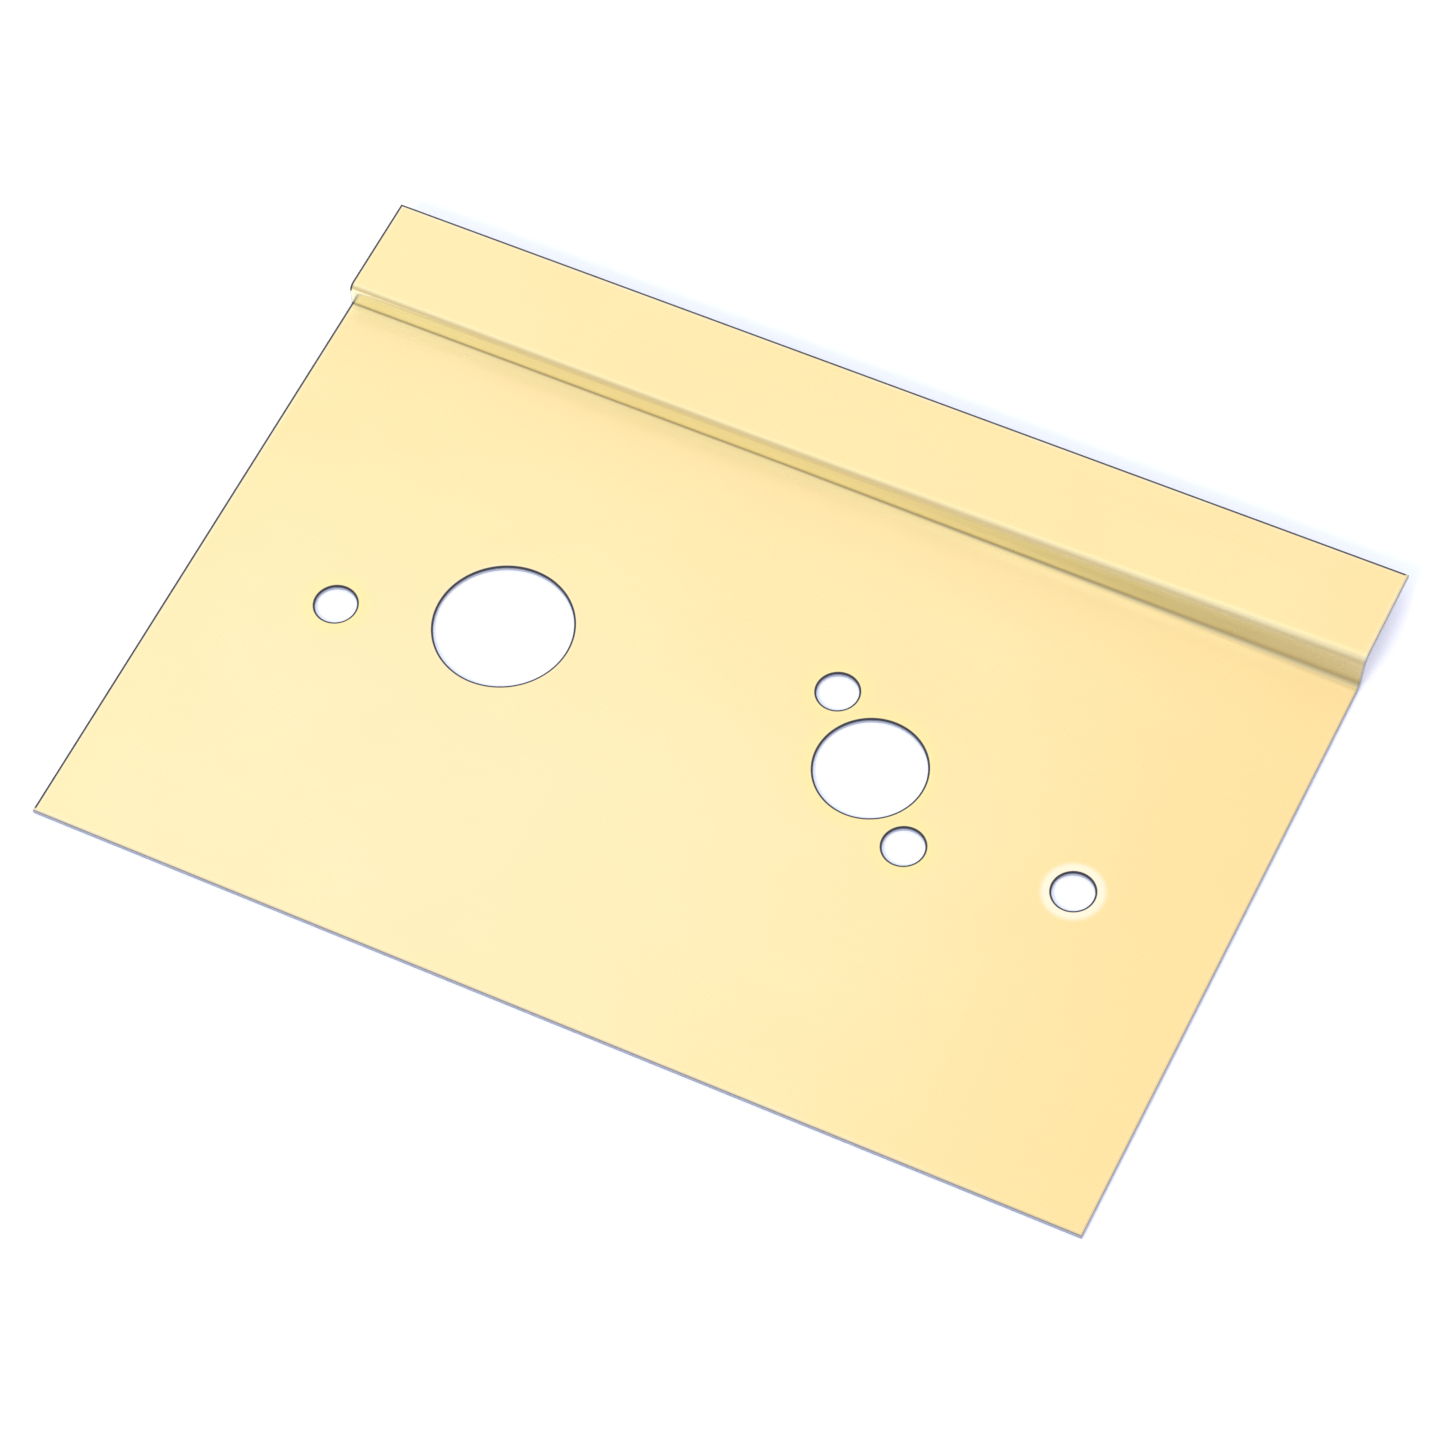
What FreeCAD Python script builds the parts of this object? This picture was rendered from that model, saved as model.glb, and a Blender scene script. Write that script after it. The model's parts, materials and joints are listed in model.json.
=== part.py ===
import FreeCAD, Part
import math
import os
import Sketcher

# Offset lock guard plate: one sheet of brass, punched for a lock and pressed into a step along one long
# edge. The flat panel lies on a door. The lap beyond the step stands proud of it, over the gap beside
# the door.
#
# Frame: +X runs along the plate, +Y across it towards the lap, +Z out of its front face. The origin is
# the middle of the plate's outline, in the plane of the panel's back face.

SIZES = {
    "plate_length": 254.0,      # along the edge of the door, 10 in
    "panel_width": 151.6,       # from the panel's free edge to the front of the step
    "lap_width": 26.2,          # from the front of the step to the lap's free edge
    "lap_offset": 6.35,         # how far the lap stands in front of the panel, 1/4 in
    "sheet_gauge": 1.27,        # thickness of the sheet, 0.050 in
    "bend_radius": 0.4,         # inside radius of both bends of the step, which are folded tight
    "edge_round": 0.2,          # rounding that shear and punch leave on the front edges
    "cylinder_hole": 31.75,     # diameter, clears the body of a mortise cylinder, 1-1/4 in
    "hub_hole": 25.4,           # diameter, clears the hub of a knob or lever, 1 in
    "bolt_hole": 9.525,         # diameter of each of the four bolt holes, 3/8 in
    "bolt_span": 182.0,         # from one end bolt hole to the other
    "hub_along": 37.4,          # how far the hub hole lies from the middle, along +X
    "lock_spacing": 91.1,       # from the cylinder hole to the hub hole
    "lock_rise": 10.3,          # from the panel's midline towards the lap, to the lock's holes
    "hub_circle": 42.86,        # diameter of the circle of the two hub bolts, 1-11/16 in
    "hub_bolt_angle": 45.0,     # slope of the line through the hub bolts, in degrees
}
PLATE = "guard_plate"
SAME_PLACE = 1e-5
SAME_VOLUME = 1e-3


def add_sizes(doc):
    """The sheet of driving dimensions, in millimetres, one named cell each."""
    sheet = doc.addObject("Spreadsheet::Sheet", "Sizes")
    for row, (name, value) in enumerate(SIZES.items(), start=1):
        sheet.set(f"A{row}", name)
        sheet.set(f"B{row}", str(value))
        sheet.setAlias(f"B{row}", name)
    doc.recompute()


def add_sketch(body, name, role):
    """An empty sketch on the plane of the body's own origin that has this role."""
    sketch = body.newObject("Sketcher::SketchObject", name)
    plane = next(feature for feature in body.Origin.OriginFeatures if feature.Role == role)
    sketch.AttachmentSupport = [(plane, "")]
    sketch.MapMode = "FlatFace"
    return sketch


def add_driven(sketch, name, formula, *constraint):
    """A named dimension of the sketch that follows a formula."""
    number = sketch.addConstraint(Sketcher.Constraint(*constraint))
    sketch.renameConstraint(number, name)
    sketch.setExpression(f"Constraints.{name}", formula)


def add_step_profile(body):
    """The sheet's section, seen along the plate: panel, riser and lap with square corners."""
    sketch = add_sketch(body, "StepProfile", "YZ_Plane")
    gauge = SIZES["sheet_gauge"]
    lap_back = SIZES["lap_offset"]
    far = (SIZES["panel_width"] + SIZES["lap_width"]) / 2
    riser = far - SIZES["lap_width"]
    corners = [
        (-far, 0),
        (riser + gauge, 0),
        (riser + gauge, lap_back),
        (far, lap_back),
        (far, lap_back + gauge),
        (riser, lap_back + gauge),
        (riser, gauge),
        (-far, gauge),
    ]
    points = [FreeCAD.Vector(across, up, 0) for across, up in corners]
    sides = len(points)
    for side in range(sides):
        sketch.addGeometry(Part.LineSegment(points[side], points[(side + 1) % sides]), False)
    for side in range(sides):
        sketch.addConstraint(Sketcher.Constraint("Coincident", side, 2, (side + 1) % sides, 1))
        sketch.addConstraint(Sketcher.Constraint("Vertical" if side % 2 else "Horizontal", side))
    panel_back, lap_end, lap_front, riser_front, panel_front, panel_end = 0, 3, 4, 5, 6, 7
    sketch.addConstraint(Sketcher.Constraint("PointOnObject", panel_back, 1, -1))
    add_driven(sketch, "half_width", "(Sizes.panel_width + Sizes.lap_width) / 2",
               "DistanceX", panel_back, 1, -1, 1, far)
    add_driven(sketch, "panel_front", "Sizes.panel_width",
               "DistanceX", panel_front, 2, panel_front, 1, SIZES["panel_width"])
    add_driven(sketch, "lap_front", "Sizes.lap_width",
               "DistanceX", lap_front, 2, lap_front, 1, SIZES["lap_width"])
    add_driven(sketch, "riser_front", "Sizes.lap_offset",
               "DistanceY", riser_front, 2, riser_front, 1, lap_back)
    add_driven(sketch, "panel_gauge", "Sizes.sheet_gauge",
               "DistanceY", panel_end, 2, panel_end, 1, gauge)
    add_driven(sketch, "lap_gauge", "Sizes.sheet_gauge",
               "DistanceY", lap_end, 1, lap_end, 2, gauge)
    add_driven(sketch, "riser_gauge", "Sizes.sheet_gauge",
               "DistanceX", panel_front, 1, panel_back, 2, gauge)
    return sketch


def add_pad(body, sketch):
    """The section drawn out along the plate, half to each side of the origin."""
    pad = body.newObject("PartDesign::Pad", "Sheet")
    pad.Profile = sketch
    pad.SideType = "Symmetric"
    pad.setExpression("Length", "Sizes.plate_length")
    return pad


def edges_along(shape, places):
    """Names of the edges that run along X at these (y, z) places."""
    names = []
    for number, edge in enumerate(shape.Edges, start=1):
        ends = [vertex.Point for vertex in edge.Vertexes]
        for across, up in places:
            if all(math.hypot(end.y - across, end.z - up) < SAME_PLACE for end in ends):
                names.append(f"Edge{number}")
    return names


def add_fillet(body, name, base, edges, radius_formula):
    """Rounds the named edges of the feature that the body ends with."""
    fillet = body.newObject("PartDesign::Fillet", name)
    fillet.Base = (base, edges)
    fillet.setExpression("Radius", radius_formula)
    return fillet


def add_bends(body, pad):
    """The step's two bends: each is round inside and, one gauge further out, outside."""
    doc = body.Document
    gauge = SIZES["sheet_gauge"]
    lap_back = SIZES["lap_offset"]
    front = (SIZES["panel_width"] - SIZES["lap_width"]) / 2
    inside = [(front, gauge), (front + gauge, lap_back)]
    outside = [(front + gauge, 0), (front, lap_back + gauge)]
    doc.recompute()
    inner = add_fillet(body, "InsideOfBends", pad, edges_along(pad.Shape, inside), "Sizes.bend_radius")
    doc.recompute()
    return add_fillet(body, "OutsideOfBends", inner, edges_along(inner.Shape, outside),
                      "Sizes.bend_radius + Sizes.sheet_gauge")


def hole_formulas():
    """Each hole's place along and across the plate, and its diameter."""
    midline = "-Sizes.lap_width / 2"
    lock_line = f"{midline} + Sizes.lock_rise"
    hub = "Sizes.hub_along"
    along = "Sizes.hub_circle / 2 * cos(Sizes.hub_bolt_angle)"
    across = "Sizes.hub_circle / 2 * sin(Sizes.hub_bolt_angle)"
    return {
        "cylinder": (f"{hub} - Sizes.lock_spacing", lock_line, "Sizes.cylinder_hole"),
        "hub": (hub, lock_line, "Sizes.hub_hole"),
        "hub_bolt_far": (f"{hub} - {along}", f"{lock_line} + {across}", "Sizes.bolt_hole"),
        "hub_bolt_near": (f"{hub} + {along}", f"{lock_line} - {across}", "Sizes.bolt_hole"),
        "end_bolt_left": ("-Sizes.bolt_span / 2", midline, "Sizes.bolt_hole"),
        "end_bolt_right": ("Sizes.bolt_span / 2", midline, "Sizes.bolt_hole"),
    }


def add_holes(body):
    """The six round holes, punched through the panel from its back face to its front."""
    sketch = add_sketch(body, "HoleLayout", "XY_Plane")
    up = FreeCAD.Vector(0, 0, 1)
    for number, (name, (along, across, diameter)) in enumerate(hole_formulas().items()):
        start = FreeCAD.Vector(number + 1, number + 1, 0)
        circle = sketch.addGeometry(Part.Circle(start, up, 1.0), False)
        add_driven(sketch, f"{name}_along", along, "DistanceX", -1, 1, circle, 3, start.x)
        add_driven(sketch, f"{name}_across", across, "DistanceY", -1, 1, circle, 3, start.y)
        add_driven(sketch, f"{name}_diameter", diameter, "Diameter", circle, 2.0)
    pocket = body.newObject("PartDesign::Pocket", "Holes")
    pocket.Profile = sketch
    pocket.Type = "Length"
    pocket.Reversed = True
    pocket.setExpression("Length", "Sizes.sheet_gauge")
    return pocket


def punched_volume():
    """What the six holes should take out of the sheet."""
    across = [SIZES["cylinder_hole"], SIZES["hub_hole"]] + 4 * [SIZES["bolt_hole"]]
    return sum(math.pi * diameter ** 2 / 4 for diameter in across) * SIZES["sheet_gauge"]


def is_front_edge(edge):
    """True on the outline of the front face and on the front rim of a hole."""
    middle = edge.valueAt((edge.FirstParameter + edge.LastParameter) / 2)
    gauge = SIZES["sheet_gauge"]
    far = (SIZES["panel_width"] + SIZES["lap_width"]) / 2
    front = far - SIZES["lap_width"]
    at_an_end = abs(abs(middle.x) - SIZES["plate_length"] / 2) < SAME_PLACE
    at_a_long_edge = abs(abs(middle.y) - far) < SAME_PLACE
    if at_an_end:
        return not at_a_long_edge and is_on_front(middle, front, gauge)
    if at_a_long_edge:
        return is_on_front(middle, front, gauge)
    on_panel = abs(middle.z - gauge) < SAME_PLACE
    return on_panel and edge.Curve.TypeId == "Part::GeomCircle"


def is_on_front(point, front, gauge):
    """True on the front skin of the sheet, whose riser stands at y = front."""
    bend = SIZES["bend_radius"]
    lap_front = SIZES["lap_offset"] + gauge
    if point.y < front - bend + SAME_PLACE:
        return abs(point.z - gauge) < SAME_PLACE
    if point.y > front + bend + gauge - SAME_PLACE:
        return abs(point.z - lap_front) < SAME_PLACE
    if point.z < gauge + bend:
        low_bend = math.hypot(point.y - (front - bend), point.z - (gauge + bend))
        return abs(low_bend - bend) < SAME_PLACE
    if point.z > lap_front - gauge - bend:
        high_bend = math.hypot(point.y - (front + gauge + bend), point.z - (lap_front - gauge - bend))
        return abs(high_bend - gauge - bend) < SAME_PLACE
    return abs(point.y - front) < SAME_PLACE


def add_edge_round(body, base):
    """The slight rounding along the front of the outline and round the front of each hole."""
    names = [f"Edge{number}" for number, edge in enumerate(base.Shape.Edges, start=1) if is_front_edge(edge)]
    return add_fillet(body, "FrontEdges", base, names, "Sizes.edge_round")


def add_plate(doc):
    """The whole plate as one body."""
    body = doc.addObject("PartDesign::Body", PLATE)
    body.Label = PLATE
    body.Placement = FreeCAD.Placement()
    pad = add_pad(body, add_step_profile(body))
    bends = add_bends(body, pad)
    doc.recompute()
    solid = bends.Shape.Volume
    holes = add_holes(body)
    doc.recompute()
    taken = solid - holes.Shape.Volume
    if abs(taken - punched_volume()) > SAME_VOLUME:
        raise RuntimeError(f"the holes take out {taken} mm3 instead of {punched_volume()} mm3")
    body.Tip = add_edge_round(body, holes)
    doc.recompute()
    return body


def check(doc, plate):
    """Stops if a feature failed or the plate isn't one valid solid."""
    for feature in doc.Objects:
        failed = {"Invalid", "Error"} & set(feature.State)
        if failed:
            raise RuntimeError(f"{feature.Name} is {failed}")
    shape = plate.Shape
    if shape.isNull() or not shape.isValid() or len(shape.Solids) != 1:
        raise RuntimeError(f"{plate.Label} is not one valid solid")


def main():
    doc = FreeCAD.newDocument("OffsetLockGuardPlate")
    add_sizes(doc)
    plate = add_plate(doc)
    check(doc, plate)
    os.makedirs("parts", exist_ok=True)
    plate.Shape.exportStep(f"parts/{plate.Label}.step")
    box = plate.Shape.optimalBoundingBox()
    print(f"{plate.Label}: {box.XLength:.3f} x {box.YLength:.3f} x {box.ZLength:.3f} mm,"
          f" {plate.Shape.Volume:.1f} mm3, {len(plate.Shape.Faces)} faces")


main()
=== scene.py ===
import json
import math
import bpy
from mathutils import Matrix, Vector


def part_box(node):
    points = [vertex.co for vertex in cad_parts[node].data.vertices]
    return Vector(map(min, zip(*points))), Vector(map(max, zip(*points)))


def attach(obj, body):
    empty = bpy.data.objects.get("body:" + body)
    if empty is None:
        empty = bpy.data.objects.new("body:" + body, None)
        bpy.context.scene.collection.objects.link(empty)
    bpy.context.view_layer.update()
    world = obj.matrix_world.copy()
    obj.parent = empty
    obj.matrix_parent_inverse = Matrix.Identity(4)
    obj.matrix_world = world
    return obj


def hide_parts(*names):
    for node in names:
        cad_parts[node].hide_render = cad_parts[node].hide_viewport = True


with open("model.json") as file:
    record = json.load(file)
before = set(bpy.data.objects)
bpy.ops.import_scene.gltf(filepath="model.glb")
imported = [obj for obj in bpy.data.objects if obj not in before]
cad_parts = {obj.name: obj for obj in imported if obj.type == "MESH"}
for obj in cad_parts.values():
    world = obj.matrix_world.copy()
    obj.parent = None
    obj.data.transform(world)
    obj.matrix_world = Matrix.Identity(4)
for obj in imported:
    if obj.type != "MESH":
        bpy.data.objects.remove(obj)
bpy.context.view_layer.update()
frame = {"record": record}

from types import SimpleNamespace

import bpy
from mathutils import Matrix, Vector

# The looks of the offset lock guard plate: its satin brass, a white table under it, soft light
# and the camera.

MM = 0.001
LOW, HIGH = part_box("guard_plate")
MOUNTS = {mount["name"]: mount for mount in frame["record"]["mounts"]}
RISE = MOUNTS["lap_back_face"]["pos_m"][2]
GAUGE = HIGH.z - RISE
STEP = 62.7 * MM            # where the riser's front stands across the plate
TIGHT, SOFT = 0.4 * MM, 2.0 * MM    # inside radius of the bends where the fold is hard, and at its softest
LEAN = 1.7 * MM             # how far the softest part of the fold leans, each way from the riser's middle
LEAN_START = -20 * MM       # where along the plate the fold starts to soften
SOFTENING = 1.4             # power by which the fold softens: slowly at first, then faster
ROLLED, DEBURRED = 0.25 * MM, 0.08 * MM     # rounding of the cut edges in front and behind
HUB_BOLT_ANGLE = math.radians(45)           # slope of the line through the hub bolts

COLUMNS = 72                # steps of the sheet's mesh along the plate
PLAIN_END = 50 * MM         # the panel's rows are closer together from here to the fold
PLAIN_ROWS, LAST_ROWS, BEND_ROWS, LAP_ROWS = 35, 5, 12, 8
LARGE_HOLE = 8 * MM         # holes of a larger radius than this are punched with more sides
LARGE_SIDES, SMALL_SIDES = 144, 72
ROUND_STEPS = 5             # steps round the quarter circle of a rounded edge
QUARTER = math.radians(90)

# Colours of the sheet and the table. Some of them paint light and shade onto the brass: a pool of light,
# shade by the fold, on the tight bend, toward the right end, in the crease and along the rims, and light at
# the fold's foot, on the riser and on the near and right cut walls.
SHADES = {
    "pale": (1.0, 0.865, 0.53, 1), "deep": (0.99, 0.845, 0.50, 1),
    "worn": (1.0, 0.94, 0.74, 1), "haze": (1.0, 0.885, 0.60, 1),
    "by_fold": (0.92, 0.76, 0.42, 1), "foot": (1.0, 0.885, 0.58, 1),
    "hard_bend": (0.97, 0.80, 0.43, 1), "right_end": (0.98, 0.80, 0.43, 1),
    "rubbed": (1.0, 0.99, 0.90, 1), "stained": (1.0, 0.90, 0.47, 1),
    "riser": (1.0, 0.99, 0.68, 1), "crease": (0.52, 0.43, 0.22, 1),
    "back_dark": (0.70, 0.50, 0.22, 1), "back_light": (0.86, 0.67, 0.34, 1),
    "cut_dark": (0.13, 0.14, 0.19, 1), "cut_light": (0.24, 0.25, 0.31, 1),
    "torn": (0.58, 0.59, 0.63, 1), "lit_cut": (0.37, 0.38, 0.44, 1),
    "rim": (0.04, 0.048, 0.085, 1),
    "table_low": (0.86, 0.89, 0.93, 1), "table_high": (0.88, 0.91, 0.95, 1),
    "table_glow": (0.30, 0.45, 1.0, 1),
}
MIDTONES = (0.35, 0.65)     # the part of a noise's range over which one value turns into another
# Upward parts of the normal between which the back starts and is full, and the front starts and is full.
BEHIND, NOT_BEHIND = (-0.4, -0.6), (-0.4, -0.2)
LIT_START, LIT_FULL = 0.9 * MM, 0.5 * MM    # how far from the near and right edges they get lighter
# Centre and stretch of the painted pool of light on the panel's lower left.
LIGHT_POOL_CENTRE, LIGHT_POOL_STRETCH = (-45 * MM, -52 * MM, GAUGE), (1.0, 1.5, 1.0)

WORLD_WHITE = (0.86, 0.90, 0.96)
# For each area of the world: its direction, the cosines at which it starts and is full, and the
# colour that it adds or takes away.
WORLD_AREAS = {
    "low_in_front": ((-0.30, -1.0, -0.25), 0.38, 0.82, (-0.28, -0.35, -0.48)),
    "high_in_front": ((0.35, -0.60, 0.75), 0.80, 0.98, (-0.03, -0.06, -0.14)),
    "behind": ((0.0, 1.0, 0.35), -0.20, 0.35, (0.19, 0.07, -0.14)),
    "overhead": ((-0.08, -0.06, 0.99), 0.965, 0.995, (0.08, 0.08, 0.06)),
    "high_at_left": ((-0.62, 0.02, 0.78), 0.80, 1.0, (0.06, 0.15, 0.28)),
    "high_behind": ((0.30, 0.62, 0.72), 0.82, 1.0, (-0.08, -0.14, -0.18)),
}

CAMERA_ANGLES = (30.29, 57.80, -5.09)       # azimuth, elevation and roll, in degrees
CAMERA_DISTANCE, CAMERA_LENS = 1.3266, 148.8
CAMERA_AIM = Vector((0.002, -0.0048, 0.0))
KEY_PLACE, KEY_POWER = Vector((-0.05, -0.98, 0.85)), 8.0


def hole_places():
    """Each hole's centre along and across the plate and its radius, in metres, from the record's mounts."""
    holes = []
    for name in ("cylinder_hole", "hub_hole"):
        mount = MOUNTS[name]
        holes.append((mount["pos_m"][0], mount["pos_m"][1], mount["dims"]["r_mm"] * MM))
    hub = MOUNTS["hub_bolts"]
    step = hub["dims"]["pcd_mm"] / 2 * math.cos(HUB_BOLT_ANGLE) * MM
    ends = MOUNTS["end_bolts"]
    half = ends["dims"]["spacing_x_mm"] / 2 * MM
    for mount, along, across in ((hub, step, -step), (ends, half, 0)):
        x, y, _ = mount["pos_m"]
        radius = mount["dims"]["hole_r_mm"] * MM
        holes += [(x - along, y - across, radius), (x + along, y + across, radius)]
    return holes


def spread(start, end, steps):
    """Evenly spaced numbers from start to end, both included."""
    return [start + (end - start) * step / steps for step in range(steps + 1)]


def rounding_steps(radius, steps=ROUND_STEPS):
    """Distances from a cut edge that follow a quarter of a circle, from 0 to its radius."""
    return [radius * (1 - math.cos(QUARTER * step / steps)) for step in range(steps + 1)]


def rounded_off(distance, radius):
    """How much a rounded edge takes off a skin at this distance from the cut."""
    reach = max(0.0, radius - distance)
    return radius - math.sqrt(radius ** 2 - reach ** 2)


def stations():
    """Where the sheet's section is drawn along the plate, closer together at both ends."""
    ends = rounding_steps(ROLLED)
    middle = spread(LOW.x + ROLLED, HIGH.x - ROLLED, COLUMNS)[1:-1]
    return [LOW.x + step for step in ends] + middle + [HIGH.x - step for step in reversed(ends)]


def section(x):
    """The sheet's middle line at x, from the panel's free edge to the lap's: (across, up, slope) points."""
    half = GAUGE / 2
    softness = max(0.0, (x - LEAN_START) / (HIGH.x - LEAN_START)) ** SOFTENING
    lean = LEAN * softness
    radius = half + TIGHT + (SOFT - TIGHT) * softness
    slope = math.atan2(RISE, 2 * lean)
    shift = half * math.tan(slope / 2)
    reach = radius * math.tan(slope / 2)
    foot = STEP - lean + shift - reach
    head = STEP + lean + shift + reach
    edge = rounding_steps(ROLLED)
    flat = [LOW.y + step for step in edge] + spread(LOW.y + ROLLED, PLAIN_END, PLAIN_ROWS)[1:]
    flat += spread(PLAIN_END, foot, LAST_ROWS)[1:-1]
    lap = spread(head, HIGH.y - ROLLED, LAP_ROWS)[1:-1] + [HIGH.y - step for step in reversed(edge)]
    turns = spread(0.0, slope, BEND_ROWS)
    low = [(foot + radius * math.sin(turn), half + radius * (1 - math.cos(turn)), turn) for turn in turns]
    high = [(head - radius * math.sin(turn), RISE + half - radius * (1 - math.cos(turn)), turn)
            for turn in reversed(turns)]
    (start_y, start_z, _), (end_y, end_z, _) = low[-1], high[0]
    riser = [(start_y + (end_y - start_y) * part, start_z + (end_z - start_z) * part, slope)
             for part in (0.25, 0.5, 0.75)]
    return [(y, half, 0.0) for y in flat] + low + riser + high + [(y, RISE + half, 0.0) for y in lap]


def sheet_mesh():
    """The folded sheet with rounded cut edges, before it is punched."""
    points, columns = {"front": [], "back": []}, stations()
    for x in columns:
        to_end = HIGH.x - abs(x)
        for y, z, slope in section(x):
            to_cut = min(to_end, y - LOW.y, HIGH.y - y)
            for skin, side, radius in (("front", 1, ROLLED), ("back", -1, DEBURRED)):
                out = side * (GAUGE / 2 - rounded_off(to_cut, radius))
                points[skin].append((x, y - out * math.sin(slope), z + out * math.cos(slope)))
    rows = len(points["front"]) // len(columns)
    last, behind = len(columns) - 1, len(points["front"])
    faces = []
    for i in range(last):
        for j in range(rows - 1):
            a, b, c, d = i * rows + j, (i + 1) * rows + j, (i + 1) * rows + j + 1, i * rows + j + 1
            faces += [(a, b, c, d), (d + behind, c + behind, b + behind, a + behind)]
    for i in range(last):
        for j, turned in ((0, False), (rows - 1, True)):
            a, b = i * rows + j, (i + 1) * rows + j
            faces.append((b, a, a + behind, b + behind)[::-1 if turned else 1])
    for j in range(rows - 1):
        for i, turned in ((0, True), (last, False)):
            a, b = i * rows + j, i * rows + j + 1
            faces.append((b, a, a + behind, b + behind)[::-1 if turned else 1])
    mesh = bpy.data.meshes.new("sheet")
    mesh.from_pydata(points["front"] + points["back"], [], faces)
    return mesh


def punches_mesh():
    """A round punch for each hole, wider where it rolls the front rim over and deburrs the back."""
    above, below = 2 * MM, -2 * MM
    rim = [(GAUGE - ROLLED + step, ROLLED - math.sqrt(max(0.0, ROLLED ** 2 - step ** 2)))
           for step in (ROLLED * math.sin(QUARTER * turn / ROUND_STEPS) for turn in range(ROUND_STEPS + 1))]
    foot = [(step, rounded_off(step, DEBURRED)) for step in rounding_steps(DEBURRED, 3)]
    profile = [(below, DEBURRED)] + foot + rim + [(above, ROLLED)]
    vertices, faces = [], []
    for x, y, radius in hole_places():
        segments = LARGE_SIDES if radius > LARGE_HOLE else SMALL_SIDES
        start = len(vertices)
        for up, wider in profile:
            for step in range(segments):
                turn = 2 * math.pi * step / segments
                reach = radius + wider
                vertices.append((x + reach * math.cos(turn), y + reach * math.sin(turn), up))
        for ring in range(len(profile) - 1):
            for step in range(segments):
                a = start + ring * segments + step
                b = start + ring * segments + (step + 1) % segments
                faces.append((a, b, b + segments, a + segments))
        faces.append(tuple(start + step for step in reversed(range(segments))))
        faces.append(tuple(start + (len(profile) - 1) * segments + step for step in range(segments)))
    mesh = bpy.data.meshes.new("punches")
    mesh.from_pydata(vertices, [], faces)
    return mesh


def add_plate():
    """The sheet as it was made: folded, a little softer at one end of the fold, punched and deburred."""
    scene = bpy.context.scene
    plate = bpy.data.objects.new("guard_plate_sheet", sheet_mesh())
    punches = bpy.data.objects.new("punches", punches_mesh())
    scene.collection.objects.link(plate)
    scene.collection.objects.link(punches)
    punched = plate.modifiers.new("punched", "BOOLEAN")
    punched.operation, punched.solver, punched.object = "DIFFERENCE", "EXACT", punches
    bpy.context.view_layer.update()
    cut = bpy.data.meshes.new_from_object(plate.evaluated_get(bpy.context.evaluated_depsgraph_get()))
    plate.modifiers.remove(punched)
    bpy.data.objects.remove(punches)
    plate.data = cut
    cut.name = "guard_plate_sheet"
    cut.shade_smooth()
    cut.set_sharp_from_angle(angle=math.radians(40))
    even = plate.modifiers.new("even_shading", "WEIGHTED_NORMAL")
    even.mode, even.keep_sharp = "FACE_AREA", True
    cut.materials.clear()
    cut.materials.append(brass_sheet())
    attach(plate, "root")
    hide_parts("guard_plate")


class Nodes:
    """Short calls for building a node tree."""

    def __init__(self, owner):
        """owner is a material or a world, whose own nodes are cleared."""
        owner.use_nodes = True
        self.owner = owner
        self.tree = owner.node_tree
        self.tree.nodes.clear()

    def add(self, kind, inputs=(), **settings):
        node = self.tree.nodes.new(kind)
        for name, value in settings.items():
            setattr(node, name, value)
        for name, value in dict(inputs).items():
            self.set(node.inputs[name], value)
        return node

    def set(self, socket, value):
        if isinstance(value, bpy.types.NodeSocket):
            self.tree.links.new(value, socket)
        else:
            socket.default_value = value

    def maths(self, operation, *values):
        node = self.add("ShaderNodeMath", operation=operation)
        for socket, value in zip(node.inputs, values):
            self.set(socket, value)
        return node.outputs[0]

    def times(self, *values):
        """The product of several values."""
        product = values[0]
        for value in values[1:]:
            product = self.maths("MULTIPLY", product, value)
        return product

    def least(self, *values):
        """The smallest of several values."""
        smallest = values[0]
        for value in values[1:]:
            smallest = self.maths("MINIMUM", smallest, value)
        return smallest

    def ramp(self, value, start, end, low=0.0, high=1.0):
        """low before start, high after end, and a smooth step between."""
        inputs = {"Value": value, "From Min": start, "From Max": end, "To Min": low, "To Max": high}
        return self.add("ShaderNodeMapRange", inputs, interpolation_type="SMOOTHSTEP").outputs[0]

    def ramp_straight(self, value, start, end):
        """0 at start, 1 at end and a straight line between."""
        inputs = {"Value": value, "From Min": start, "From Max": end, "To Min": 0.0, "To Max": 1.0}
        return self.add("ShaderNodeMapRange", inputs, interpolation_type="LINEAR", clamp=True).outputs[0]

    def mix(self, factor, first, second):
        node = self.add("ShaderNodeMix", data_type="RGBA")
        self.set(node.inputs[0], factor)
        self.set(node.inputs[6], first)
        self.set(node.inputs[7], second)
        return node.outputs[2]

    def away(self, point, centre, stretch):
        """Distance from centre, with each axis stretched first."""
        offset = self.add("ShaderNodeVectorMath", {0: point, 1: centre}, operation="SUBTRACT").outputs[0]
        scaled = self.add("ShaderNodeVectorMath", {0: offset, 1: stretch}, operation="MULTIPLY").outputs[0]
        return self.add("ShaderNodeVectorMath", {0: scaled}, operation="LENGTH").outputs["Value"]

    def noise(self, vector, size, detail=3.0, rough=0.5):
        """Noise whose features are about size across, in metres, or a size for each axis."""
        sizes = size if isinstance(size, tuple) else (size, size, size)
        scale = tuple(1 / each for each in sizes)
        mapped = self.add("ShaderNodeMapping", {"Vector": vector, "Scale": scale}).outputs[0]
        inputs = {"Vector": mapped, "Scale": 1.0, "Detail": detail, "Roughness": rough}
        return self.add("ShaderNodeTexNoise", inputs).outputs["Fac"]


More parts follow.
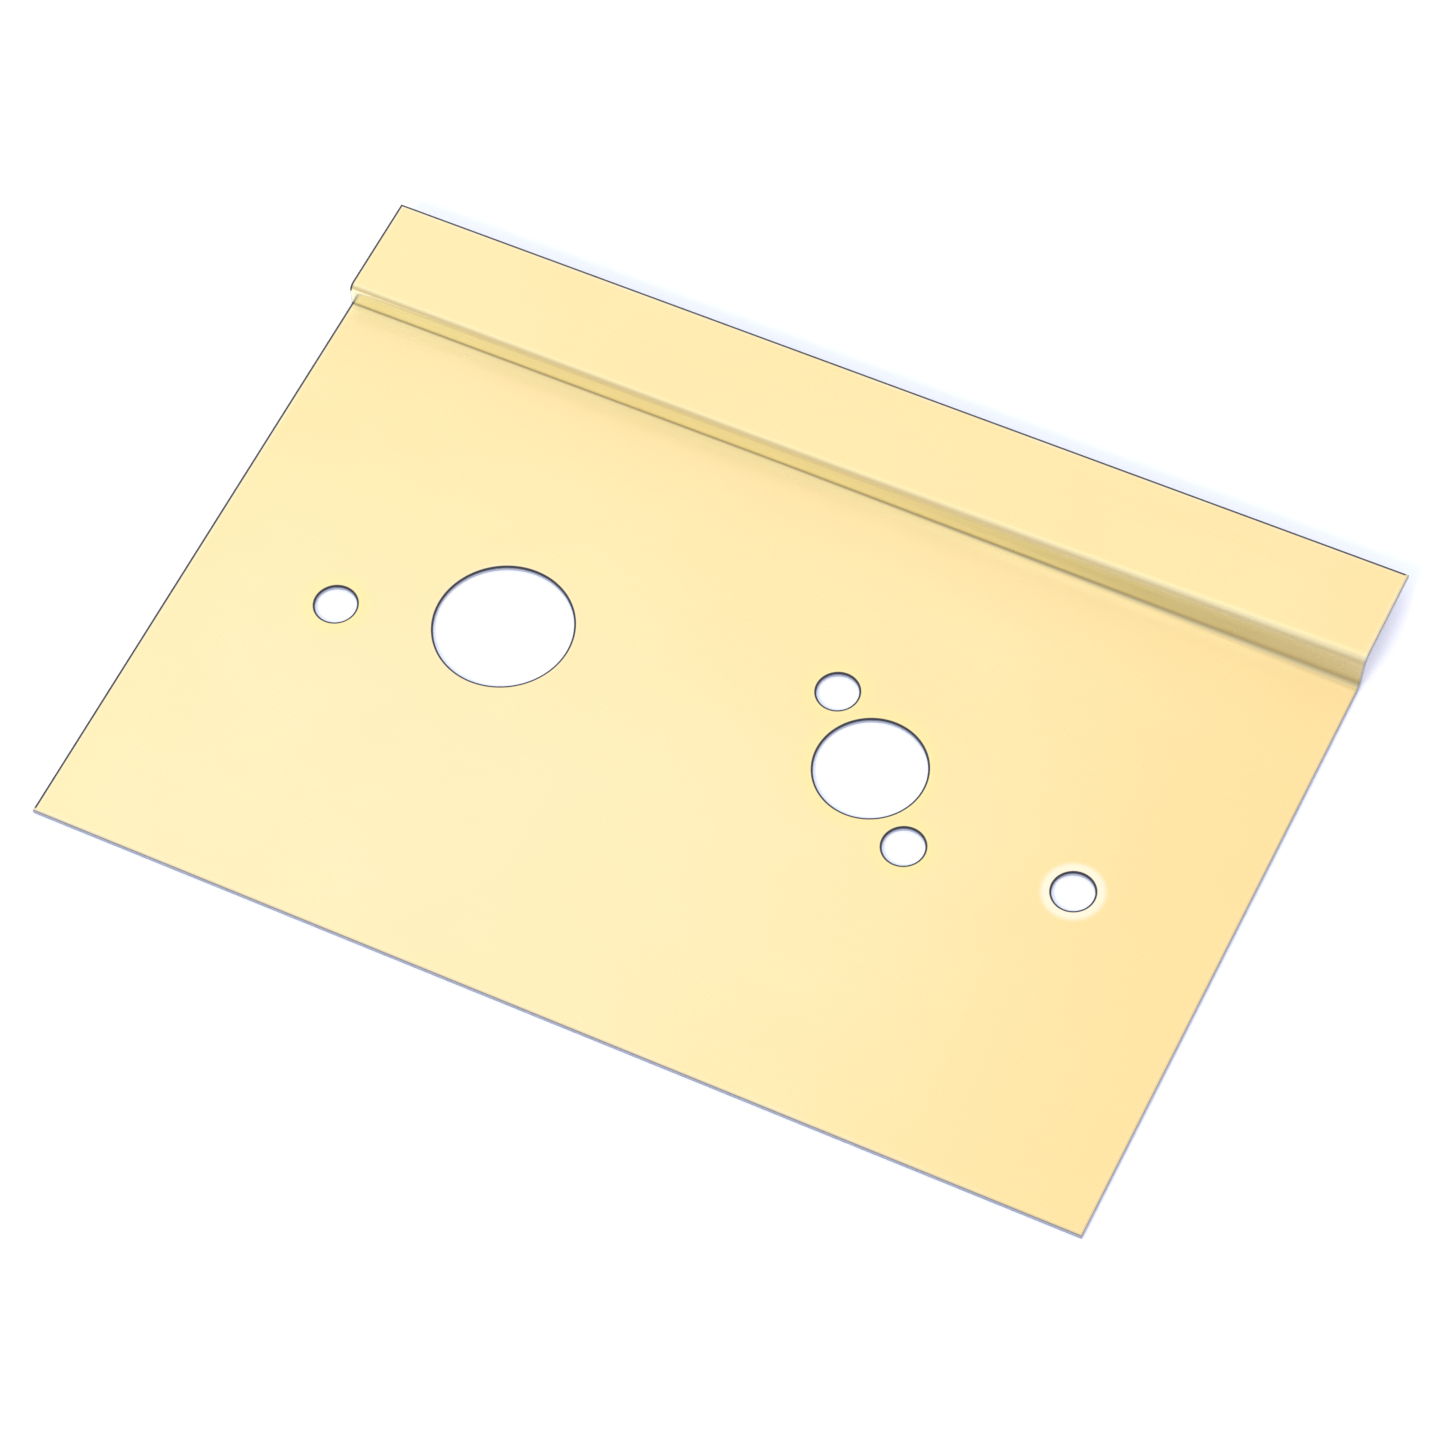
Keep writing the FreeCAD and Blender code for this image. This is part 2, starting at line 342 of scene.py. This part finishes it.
def distance_to_rims(nodes, x, y):
    """How far a point is outside each hole, in the order of hole_places."""
    distances = []
    for along, across, radius in hole_places():
        off_x = nodes.maths("SUBTRACT", x, along)
        off_y = nodes.maths("SUBTRACT", y, across)
        squares = nodes.maths("ADD", nodes.times(off_x, off_x), nodes.times(off_y, off_y))
        distances.append(nodes.maths("SUBTRACT", nodes.maths("SQRT", squares), radius))
    return distances


def sheet_places(nodes):
    """Where a point of the sheet is: its place, its distances from the cuts and from the foot of the fold."""
    place = nodes.add("ShaderNodeTexCoord")
    at = SimpleNamespace(point=place.outputs["Object"])
    split = nodes.add("ShaderNodeSeparateXYZ", {"Vector": at.point})
    at.x, at.y, at.z = (split.outputs[axis] for axis in "XYZ")
    at.facing = nodes.add("ShaderNodeSeparateXYZ", {"Vector": place.outputs["Normal"]}).outputs["Z"]

    at.to_outline = nodes.least(nodes.maths("SUBTRACT", HIGH.x, nodes.maths("ABSOLUTE", at.x)),
                                nodes.maths("SUBTRACT", HIGH.y, nodes.maths("ABSOLUTE", at.y)))
    at.to_rims = distance_to_rims(nodes, at.x, at.y)
    at.to_rim = nodes.least(*at.to_rims)
    at.to_edge = nodes.least(at.to_outline, at.to_rim)

    at.softness = nodes.maths("POWER", nodes.ramp_straight(at.x, LEAN_START, HIGH.x), SOFTENING)
    foot = nodes.maths("MULTIPLY_ADD", at.softness, -LEAN, STEP)
    off_foot = nodes.maths("POWER", nodes.maths("SUBTRACT", at.y, foot), 2.0)
    off_panel = nodes.maths("POWER", nodes.maths("SUBTRACT", at.z, GAUGE), 2.0)
    at.from_foot = nodes.maths("SQRT", nodes.maths("ADD", off_foot, off_panel))
    # Where painted light is laid along the foot of the fold, and where the sheet is made less metallic there.
    at.by_foot = nodes.times(nodes.ramp(at.from_foot, 4.0 * MM, 1.5 * MM, 0.0, 0.55),
                             nodes.ramp(at.facing, 0.90, 0.98), nodes.ramp(at.z, 2.0 * MM, 1.5 * MM))
    return at


def sheet_grain(nodes, point):
    """The noises that the sheet's colour, gloss and relief share."""
    fine = nodes.noise(point, (0.05, 0.00022, 0.00022), detail=4.0, rough=0.6)
    long = nodes.noise(point, (0.16, 0.0012, 0.0012), detail=3.0, rough=0.55)
    return SimpleNamespace(
        patches=nodes.noise(point, 0.045, detail=2.0),
        streaks=nodes.maths("ADD", nodes.times(fine, 0.6), nodes.times(long, 0.4)),
        smears=nodes.noise(point, 0.018, detail=4.0, rough=0.6),
        pits=nodes.noise(point, 0.0006, detail=2.0),
        cut_lines=nodes.noise(point, (0.0003, 0.0003, 0.004), detail=3.0))


def flat_colour(nodes, at, grain):
    """The front's brass: pale in patches by its edges, with a painted pool of light at its middle left,
    painted shade by the fold, on the tight bend and toward the right end, and painted light along the fold's
    foot.
    """
    tone = nodes.maths("ADD", nodes.times(grain.patches, 0.55), nodes.times(grain.streaks, 0.45))
    colour = nodes.mix(nodes.ramp(tone, *MIDTONES), SHADES["deep"], SHADES["pale"])
    # Paler in patches within 1.5 mm of the cut edges.
    worn = nodes.times(nodes.ramp(at.to_edge, 1.5 * MM, 0.6 * MM),
                       nodes.ramp(grain.smears, *MIDTONES, 0.3, 0.8))
    colour = nodes.mix(worn, colour, SHADES["worn"])
    # Painted light: a paler pool at the panel's lower left stands in for a glare of white light there.
    from_light_pool = nodes.away(at.point, LIGHT_POOL_CENTRE, LIGHT_POOL_STRETCH)
    haze = nodes.times(nodes.ramp(from_light_pool, 150 * MM, 30 * MM),
                       nodes.ramp(grain.patches, 0.2, 0.8, 0.75, 1.0))
    colour = nodes.mix(haze, colour, SHADES["haze"])
    on_panel = nodes.ramp(at.z, 4 * MM, 2 * MM)
    # Painted shade: the panel darkens toward the fold's foot, more to the right, standing in for the riser's
    # shade and reflection.
    by_fold = nodes.times(nodes.ramp(at.from_foot, 26 * MM, 1 * MM, 0.0, 0.5), on_panel,
                          nodes.ramp(at.x, LOW.x, HIGH.x, 0.4, 1.0))
    colour = nodes.mix(by_fold, colour, SHADES["by_fold"])
    # Painted light: paler along the foot of the fold, to lift the riser's dark reflection there.
    colour = nodes.mix(at.by_foot, colour, SHADES["foot"])
    # Painted shade: deeper colour on the upper bend where the fold is tight, to dim its highlight.
    hard_bend = nodes.times(nodes.ramp(at.facing, 0.995, 0.92), nodes.ramp(at.z, 4.5 * MM, 5.5 * MM),
                            nodes.ramp(at.softness, 0.0, 0.5, 0.7, 0.0))
    colour = nodes.mix(hard_bend, colour, SHADES["hard_bend"])
    # Painted shade: the panel's colour deepens toward its right end.
    right_end = nodes.times(nodes.ramp(at.x, 45 * MM, HIGH.x, 0.0, 0.7), on_panel)
    return nodes.mix(right_end, colour, SHADES["right_end"])


def front_colour(nodes, at, grain):
    """The front with pale and yellow rings round its bolt holes, painted light as a paler olive tint on the
    riser, and painted shade in the crease at its foot.
    """
    colour = flat_colour(nodes, at, grain)
    # A paler ring round the right end bolt hole.
    rubbed = nodes.ramp(at.to_rims[-1], 3.2 * MM, 1.5 * MM, 0.0, 1.0)
    colour = nodes.mix(rubbed, colour, SHADES["rubbed"])
    # A deeper yellow round the hub holes and the left end bolt hole.
    stained = nodes.ramp(nodes.least(*at.to_rims[1:-1]), 5.0 * MM, 0.8 * MM, 0.0, 0.6)
    colour = nodes.mix(stained, colour, SHADES["stained"])
    # Painted light: the riser is tinted paler, more at its left and right ends, to lighten its dark
    # reflections.
    on_riser = nodes.times(nodes.ramp(at.facing, 0.55, 0.30), nodes.ramp(at.facing, *NOT_BEHIND))
    riser_light = nodes.maths("ADD", nodes.ramp(at.x, -40 * MM, LOW.x, 0.4, 0.6),
                       nodes.ramp(at.x, 0.0, 80 * MM, 0.0, 0.25))
    colour = nodes.mix(nodes.times(on_riser, riser_light), colour, SHADES["riser"])
    # Painted shade: a dark line in the crease at the fold's foot, wider and fainter where the fold softens.
    crease_shade_width = nodes.maths("MULTIPLY_ADD", at.softness, 1.5 * MM, 0.6 * MM)
    crease = nodes.times(nodes.ramp(nodes.maths("DIVIDE", at.from_foot, crease_shade_width), 1.0, 0.2),
                         nodes.ramp(at.softness, 0.0, 0.8, 0.8, 0.6))
    return nodes.mix(crease, colour, SHADES["crease"])


def back_tone(nodes, at, grain):
    """How light and how dull the back is, from 0 to 1."""
    lines = nodes.noise(at.point, (0.09, 0.0006, 0.0006), detail=4.0, rough=0.65)
    return nodes.maths("ADD", nodes.times(grain.patches, 0.5), nodes.times(lines, 0.5))


def lit_side(nodes, at):
    """1 along the near and right edges, 0 elsewhere."""
    near = nodes.ramp(at.y, LOW.y + LIT_START, LOW.y + LIT_FULL)
    right = nodes.ramp(at.x, HIGH.x - LIT_START, HIGH.x - LIT_FULL)
    return nodes.maths("MAXIMUM", near, right)


def cut_colour(nodes, at, grain):
    """The cut walls: painted dark as a shaded outline, with cut lines, paler where the punch tore through,
    and painted lighter on the near and right edges, where light falls on them.
    """
    colour = nodes.mix(nodes.ramp(grain.cut_lines, *MIDTONES), SHADES["cut_dark"], SHADES["cut_light"])
    torn = nodes.times(nodes.ramp(at.z, 0.85 * MM, 0.60 * MM, 0.0, 0.8),
                       nodes.ramp(at.to_outline, 0.4 * MM, 0.8 * MM))
    colour = nodes.mix(torn, colour, SHADES["torn"])
    return nodes.mix(lit_side(nodes, at), colour, SHADES["lit_cut"])


def painted_rim_shade(nodes, at):
    """How strongly painted shade darkens the front along its rims as an outline, less on the lit edges."""
    rim_outline_shade = nodes.maths("MAXIMUM", nodes.ramp(at.to_rim, 0.54 * MM, 0.42 * MM),
                       nodes.ramp(at.to_outline, 0.62 * MM, 0.46 * MM))
    return nodes.times(rim_outline_shade, nodes.ramp(at.facing, 0.05, 0.25),
                       nodes.maths("MULTIPLY_ADD", lit_side(nodes, at), -0.85, 1.0))


def sheet_relief(nodes, point, grain):
    """The normal of the grain, with slight waves in the sheet."""
    height = nodes.maths("ADD", grain.streaks, nodes.times(grain.pits, 0.15))
    fine = nodes.add("ShaderNodeBump", {"Height": height, "Strength": 0.08, "Distance": 0.02 * MM})
    waves = {"Height": nodes.noise(point, 0.09, detail=1.0), "Strength": 0.2, "Distance": 0.6 * MM}
    return nodes.add("ShaderNodeBump", {**waves, "Normal": fine.outputs[0]}).outputs[0]


def sheet_metal(nodes, at):
    """How metallic the sheet is: 1, but less at the foot and the head of the fold where it is hard."""
    by_head = nodes.times(nodes.ramp(at.facing, 0.85, 0.60), nodes.ramp(at.facing, *NOT_BEHIND),
                          nodes.ramp(at.from_foot, 3.6 * MM, 4.4 * MM),
                          nodes.ramp(at.from_foot, 9.0 * MM, 7.5 * MM))
    # Less metallic along the fold's foot, where painted light is laid, and on the fold's head, both only
    # where the fold is tight.
    dulling = nodes.maths("ADD", nodes.times(at.by_foot, 0.9), nodes.times(by_head, 0.22))
    return nodes.maths("MULTIPLY_ADD", dulling, nodes.maths("SUBTRACT", at.softness, 1.0), 1.0)


def brass_sheet():
    """Satin brass with fine grain along the plate, painted dark as a shaded outline where it was cut, and
    dull behind.
    """
    nodes = Nodes(bpy.data.materials.new("satin_brass"))
    at = sheet_places(nodes)
    grain = sheet_grain(nodes, at.point)
    behind = nodes.ramp(at.facing, *BEHIND)
    cut = nodes.ramp(at.to_edge, 0.24 * MM, 0.16 * MM)
    tone = back_tone(nodes, at, grain)

    back_colour = nodes.mix(nodes.ramp(tone, *MIDTONES), SHADES["back_dark"], SHADES["back_light"])
    colour = nodes.mix(behind, front_colour(nodes, at, grain), back_colour)
    # Painted shade on the cut walls, which make a dark outline, with painted light on the near and right
    # ones.
    colour = nodes.mix(cut, colour, cut_colour(nodes, at, grain))
    # Painted shade: a dark outline along the rims of the holes and the plate.
    colour = nodes.mix(painted_rim_shade(nodes, at), colour, SHADES["rim"])

    wear = nodes.maths("ADD", nodes.times(grain.streaks, 0.6), nodes.times(grain.smears, 0.4))
    front_rough = nodes.ramp(wear, 0.3, 0.7, 0.25, 0.36)
    back_rough = nodes.ramp(tone, *MIDTONES, 0.42, 0.58)
    cut_rough = nodes.ramp(grain.cut_lines, 0.3, 0.7, 0.38, 0.6)
    rough = nodes.add("ShaderNodeMix", {0: behind, 2: front_rough, 3: back_rough}).outputs[0]
    rough = nodes.add("ShaderNodeMix", {0: cut, 2: rough, 3: cut_rough}).outputs[0]

    shader = nodes.add("ShaderNodeBsdfPrincipled", {
        "Base Color": colour,
        "Metallic": sheet_metal(nodes, at),
        "Roughness": rough,
        "Normal": sheet_relief(nodes, at.point, grain),
        "Coat Weight": 0.6,
        "Coat Roughness": 0.12,
        "Coat IOR": 1.5,
    })
    nodes.add("ShaderNodeOutputMaterial", {"Surface": shader.outputs[0]})
    return nodes.owner


def table_white():
    """A white matt table top with the faintest mottle and a weak blue glow that cools its shadows."""
    nodes = Nodes(bpy.data.materials.new("white_table"))
    point = nodes.add("ShaderNodeTexCoord").outputs["Object"]
    mottle = nodes.noise(point, 0.03, detail=3.0)
    colour = nodes.mix(mottle, SHADES["table_low"], SHADES["table_high"])
    shader = nodes.add("ShaderNodeBsdfPrincipled", {
        "Base Color": colour,
        "Roughness": 0.9,
        "Emission Color": SHADES["table_glow"],
        "Emission Strength": 0.40,
    })
    nodes.add("ShaderNodeOutputMaterial", {"Surface": shader.outputs[0]})
    return nodes.owner


def add_table():
    """The floor under the plate, a hair below its back face."""
    half = 4.0
    mesh = bpy.data.meshes.new("table")
    corners = [(-half, -half, 0), (half, -half, 0), (half, half, 0), (-half, half, 0)]
    mesh.from_pydata(corners, [], [(0, 1, 2, 3)])
    table = bpy.data.objects.new("table", mesh)
    table.location.z = -0.05 * MM
    bpy.context.scene.collection.objects.link(table)
    mesh.materials.append(table_white())


def add_light():
    """A white studio: warm behind the plate, dark low in front of it, bright and cool high at the left."""
    world = bpy.data.worlds.new("studio")
    nodes = Nodes(world)
    direction = nodes.add("ShaderNodeTexCoord").outputs["Generated"]
    colour = WORLD_WHITE
    for toward, start, end, added in WORLD_AREAS.values():
        inputs = {0: direction, 1: Vector(toward).normalized()}
        along = nodes.add("ShaderNodeVectorMath", inputs, operation="DOT_PRODUCT").outputs["Value"]
        share = nodes.add("ShaderNodeVectorMath", {0: added, "Scale": nodes.ramp(along, start, end)},
                          operation="SCALE").outputs[0]
        colour = nodes.add("ShaderNodeVectorMath", {0: colour, 1: share}, operation="ADD").outputs[0]
    background = nodes.add("ShaderNodeBackground", {"Color": colour, "Strength": 1.0})
    nodes.add("ShaderNodeOutputWorld", {"Surface": background.outputs[0]})
    bpy.context.scene.world = world


def add_key():
    """A soft warm lamp in front of the plate, left out of reflections."""
    lamp = bpy.data.lights.new("key", "AREA")
    lamp.energy, lamp.color = KEY_POWER, (1.0, 0.82, 0.55)
    lamp.shape, lamp.size = "DISK", 0.45
    key = bpy.data.objects.new("key", lamp)
    key.location = KEY_PLACE
    key.rotation_euler = (-key.location).to_track_quat("-Z", "Y").to_euler()
    key.visible_glossy = False
    bpy.context.scene.collection.objects.link(key)


def add_camera():
    """A long lens that looks down on the plate from its front right."""
    azimuth, elevation, roll = (math.radians(angle) for angle in CAMERA_ANGLES)
    back = Vector((math.sin(azimuth) * math.cos(elevation), -math.cos(azimuth) * math.cos(elevation),
                   math.sin(elevation)))
    lens = bpy.data.cameras.new("camera")
    lens.sensor_width = 36.0
    lens.lens = CAMERA_LENS
    lens.clip_start, lens.clip_end = 0.01, 20.0
    camera = bpy.data.objects.new("camera", lens)
    camera.location = CAMERA_AIM + back * CAMERA_DISTANCE
    camera.rotation_mode = "QUATERNION"
    camera.rotation_quaternion = ((-back).to_track_quat("-Z", "Y").to_matrix()
                                  @ Matrix.Rotation(roll, 3, "Z")).to_quaternion()
    bpy.context.scene.collection.objects.link(camera)
    bpy.context.scene.camera = camera


add_plate()
add_table()
add_light()
add_key()
add_camera()
bpy.context.scene.view_settings.view_transform = "Standard"
